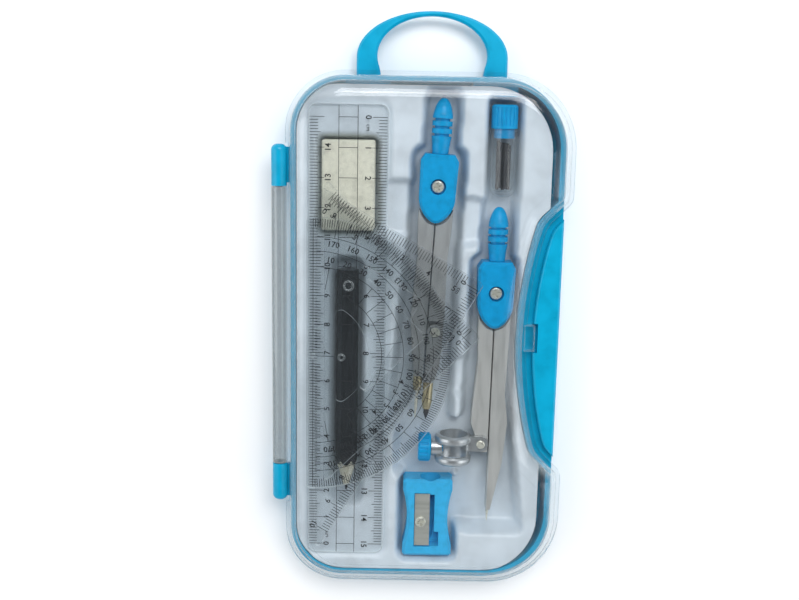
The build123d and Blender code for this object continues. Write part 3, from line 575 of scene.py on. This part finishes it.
# ------------------------------------------------------------------ moulded bosses
def ring_boss(name, body, across, radius):
    """A small raised ring moulded on a sheet, placed from the low corner of the sheet's box."""
    low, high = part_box(body)
    centre = Vector((low.x + across[0] * MM, low.y + across[1] * MM, high.z))
    tube, around, profile = BOSS_TUBE, 40, 10
    points, faces = [], []
    for i in range(around):
        turn = 2 * math.pi * i / around
        for j in range(profile):
            lean = 2 * math.pi * j / profile
            reach = radius + tube * math.cos(lean)
            points.append((centre.x + reach * math.cos(turn), centre.y + reach * math.sin(turn),
                           centre.z + tube * math.sin(lean)))
            beside, above = (i + 1) % around, (j + 1) % profile
            faces.append((i * profile + j, beside * profile + j, beside * profile + above,
                          i * profile + above))
    made = mesh_object(name, points, faces, "sheet", smooth=True)
    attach(made, body)


ring_boss("square_60_boss", "set_square_60", BOSS_60, 1.5 * MM)
ring_boss("square_45_boss", "set_square_45", BOSS_45, 1.0 * MM)


# ------------------------------------------------------------------ studio
def camera():
    """Looks down on the lid from a little towards the handle's end."""
    lens = bpy.data.cameras.new("camera")
    lens.sensor_width = 36.0
    lens.lens = CAMERA_LENS
    lens.clip_start = 0.01
    made = bpy.data.objects.new("camera", lens)
    tilt, roll = math.radians(CAMERA_TILT), math.radians(CAMERA_ROLL)
    back = Vector((0, math.sin(tilt), math.cos(tilt)))
    turn = Matrix.Rotation(-tilt, 4, "X") @ Matrix.Rotation(roll, 4, "Z")
    made.matrix_world = Matrix.Translation(Vector(CAMERA_AIM) + back * CAMERA_DISTANCE) @ turn
    bpy.context.scene.collection.objects.link(made)
    bpy.context.scene.camera = made


def soft_light(name, place, size, power):
    """A rectangular lamp aimed at the origin."""
    lamp = bpy.data.lights.new(name, "AREA")
    lamp.shape = "RECTANGLE"
    lamp.size, lamp.size_y = size
    lamp.energy = power
    made = bpy.data.objects.new(name, lamp)
    made.location = place
    made.rotation_euler = (-Vector(place)).to_track_quat("-Z", "Y").to_euler()
    bpy.context.scene.collection.objects.link(made)


def studio():
    """A plain pale floor, an even sky and three soft lamps."""
    floor = mesh_object("floor", [(-3, -3, 0), (3, -3, 0), (3, 3, 0), (-3, 3, 0)],
                        [(0, 1, 2, 3)], "tray")
    floor.location.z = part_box("case_base")[0].z - 0.05 * MM
    floor.data.materials.clear()
    ground, tree = new_material("floor_white")
    out = node(tree, "ShaderNodeOutputMaterial")
    paper = node(tree, "ShaderNodeBsdfDiffuse")
    paper.inputs["Color"].default_value = (0.96, 0.96, 0.96, 1)
    tree.links.new(paper.outputs["BSDF"], out.inputs["Surface"])
    floor.data.materials.append(ground)
    world = bpy.data.worlds.new("studio")
    world.use_nodes = True
    tree = world.node_tree
    sky = node(tree, "ShaderNodeTexCoord")
    height = node(tree, "ShaderNodeSeparateXYZ")
    tree.links.new(sky.outputs["Generated"], height.inputs["Vector"])
    tint = ramp(tree, height.outputs["Z"], [(0.0, (0.45, 0.47, 0.5)), (0.25, (0.8, 0.82, 0.85)),
                                           (0.75, (0.95, 0.97, 1.0)), (0.93, (0.06, 0.065, 0.07))])
    tree.links.new(tint, tree.nodes["Background"].inputs["Color"])
    tree.nodes["Background"].inputs["Strength"].default_value = 0.82
    bpy.context.scene.world = world
    soft_light("overhead", (0.12, 0.5, 0.75), (0.6, 0.35), 5.2)
    soft_light("left", (-0.8, 0.0, 0.5), (0.5, 0.8), 2.1)
    soft_light("right", (0.8, -0.2, 0.5), (0.4, 0.8), 1.85)
    bpy.context.scene.view_settings.view_transform = "Standard"
    bpy.context.scene.cycles.transparent_max_bounces = 32


camera()
studio()
